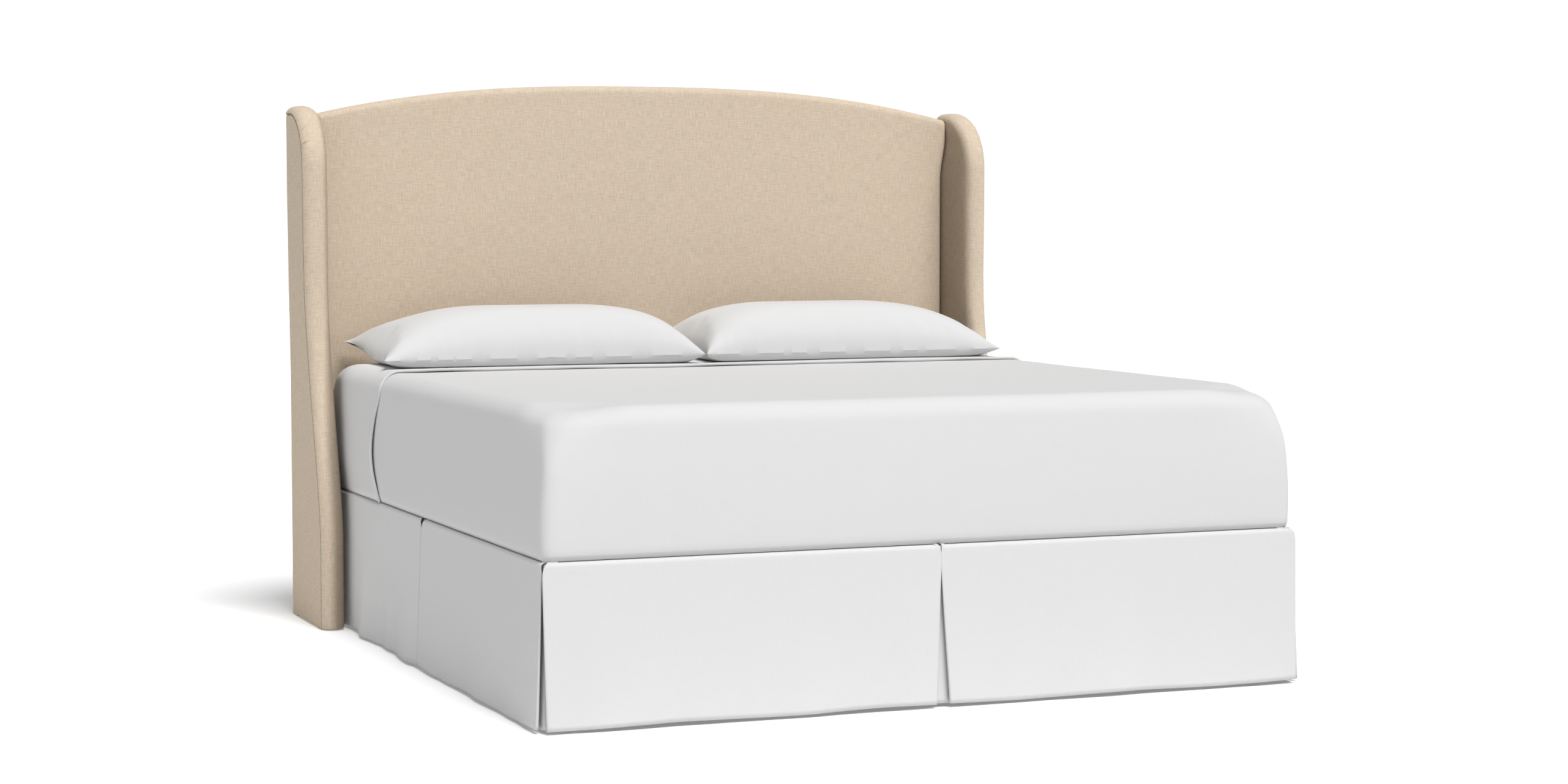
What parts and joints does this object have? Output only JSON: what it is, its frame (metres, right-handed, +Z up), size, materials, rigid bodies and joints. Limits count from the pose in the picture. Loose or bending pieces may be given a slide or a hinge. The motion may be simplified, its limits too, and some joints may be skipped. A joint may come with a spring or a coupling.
{
  "type": "upholstered headboard bed",
  "caption": "Wingback bed with an arched linen headboard, a dressed mattress, pillows and a tailored skirt.",
  "frame": {"origin": "on the floor, in the middle of the bed's footprint", "axes": "+Z up, +Y towards the headboard, +X to the right of someone standing at the foot"},
  "size_m": [2.1232, 2.165, 1.533],
  "materials": {
    "headboard_linen": "matte woven",
    "white_sheet": "matte woven",
    "pillow_cotton": "matte woven",
    "skirt_cotton": "matte woven",
    "skirt_lining": "matte woven",
    "dust_cover": "matte non-woven",
    "mattress_ticking": "matte knitted",
    "foundation_ticking": "matte woven",
    "timber": "planed softwood",
    "plywood": "sanded plywood",
    "frame_steel": "semi-gloss powder coat",
    "bolt_zinc": "zinc plated",
    "glide_plastic": "moulded"
  },
  "bodies": {
    "root": {"cross_rail_foot": "frame_steel", "cross_rail_head": "frame_steel", "cross_rail_middle": "frame_steel", "foundation_left": "foundation_ticking", "foundation_right": "foundation_ticking", "headboard_back_cover": "dust_cover", "headboard_bolt_left": "bolt_zinc", "headboard_bolt_right": "bolt_zinc", "headboard_bottom_rail": "timber", "headboard_bracket_left": "frame_steel", "headboard_bracket_right": "frame_steel", "headboard_pad": "headboard_linen", "headboard_panel": "plywood", "headboard_post_left": "timber", "headboard_post_right": "timber", "headboard_top_rail": "timber", "leg_foot_centre": "frame_steel", "leg_foot_left": "frame_steel", "leg_foot_right": "frame_steel", "leg_glide_foot_centre": "glide_plastic", "leg_glide_foot_left": "glide_plastic", "leg_glide_foot_right": "glide_plastic", "leg_glide_head_centre": "glide_plastic", "leg_glide_head_left": "glide_plastic", "leg_glide_head_right": "glide_plastic", "leg_head_centre": "frame_steel", "leg_head_left": "frame_steel", "leg_head_right": "frame_steel", "side_rail_left": "frame_steel", "side_rail_right": "frame_steel", "skirt_deck": "skirt_lining", "skirt_foot_left": "skirt_cotton", "skirt_foot_right": "skirt_cotton", "skirt_insert_corner_left": "skirt_cotton", "skirt_insert_corner_right": "skirt_cotton", "skirt_insert_foot": "skirt_cotton", "skirt_insert_side_left": "skirt_cotton", "skirt_insert_side_right": "skirt_cotton", "skirt_side_foot_left": "skirt_cotton", "skirt_side_foot_right": "skirt_cotton", "skirt_side_head_left": "skirt_cotton", "skirt_side_head_right": "skirt_cotton", "wing_board_left": "timber", "wing_board_right": "timber", "wing_front_band_left": "headboard_linen", "wing_front_band_right": "headboard_linen", "wing_glide_back_left": "glide_plastic", "wing_glide_back_right": "glide_plastic", "wing_glide_front_left": "glide_plastic", "wing_glide_front_right": "glide_plastic", "wing_inner_pad_left": "headboard_linen", "wing_inner_pad_right": "headboard_linen", "wing_outer_pad_left": "headboard_linen", "wing_outer_pad_right": "headboard_linen"},
    "mattress_body": {"mattress": "mattress_ticking", "fitted_sheet": "white_sheet", "coverlet": "white_sheet", "turned_sheet": "white_sheet"},
    "pillow_left_body": {"pillow_left": "pillow_cotton"},
    "pillow_right_body": {"pillow_right": "pillow_cotton"}
  },
  "joints": [
    {"name": "mattress_lift", "type": "slide", "parent": "root", "child": "mattress_body", "axis": [0, 0, 1], "range_m": [0, 0.25]},
    {"name": "pillow_left_lift", "type": "slide", "parent": "mattress_body", "child": "pillow_left_body", "axis": [0, 0, 1], "range_m": [0, 0.3]},
    {"name": "pillow_right_lift", "type": "slide", "parent": "mattress_body", "child": "pillow_right_body", "axis": [0, 0, 1], "range_m": [0, 0.3]}
  ]
}
